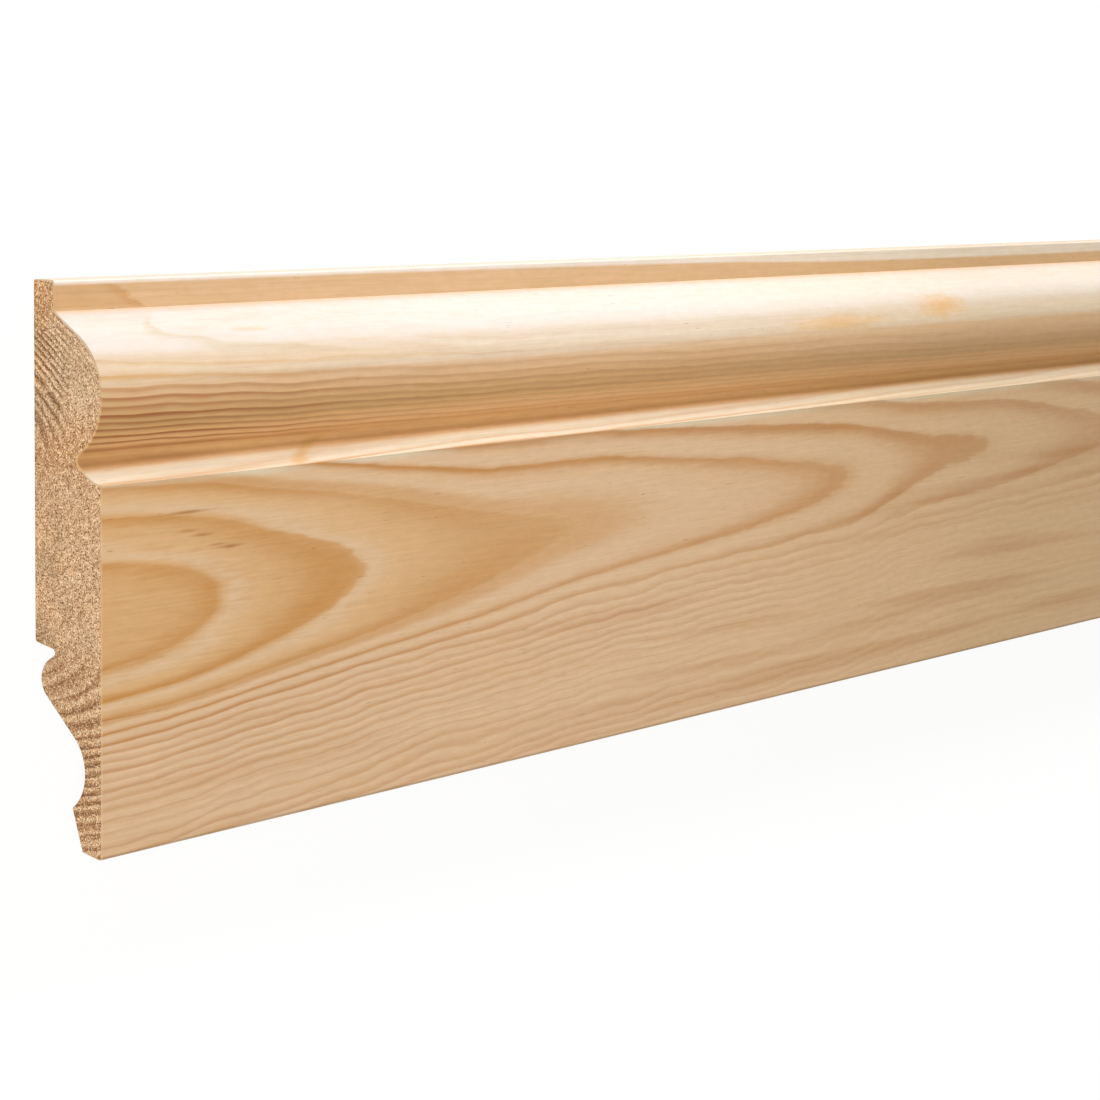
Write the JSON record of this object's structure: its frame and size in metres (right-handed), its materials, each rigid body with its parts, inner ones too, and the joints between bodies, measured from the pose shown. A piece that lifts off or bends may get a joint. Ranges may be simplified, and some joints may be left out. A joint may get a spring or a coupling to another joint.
{
  "type": "skirting board length",
  "caption": "Reversible softwood skirting board with a torus moulding on the upper edge of the front and an ogee on the lower edge of the back, planed flat between.",
  "frame": {"origin": "middle of the back face's bounding rectangle, where the board lies on a level floor", "axes": "+X along the length, +Y across the width from the thin ogee foot to the torus edge, +Z out of the front face"},
  "size_m": [2.4, 0.119, 0.0205],
  "materials": {
    "pine": "planed bare softwood with square-sawn ends"
  },
  "bodies": {
    "root": {"skirting_board": "pine"}
  },
  "joints": []
}
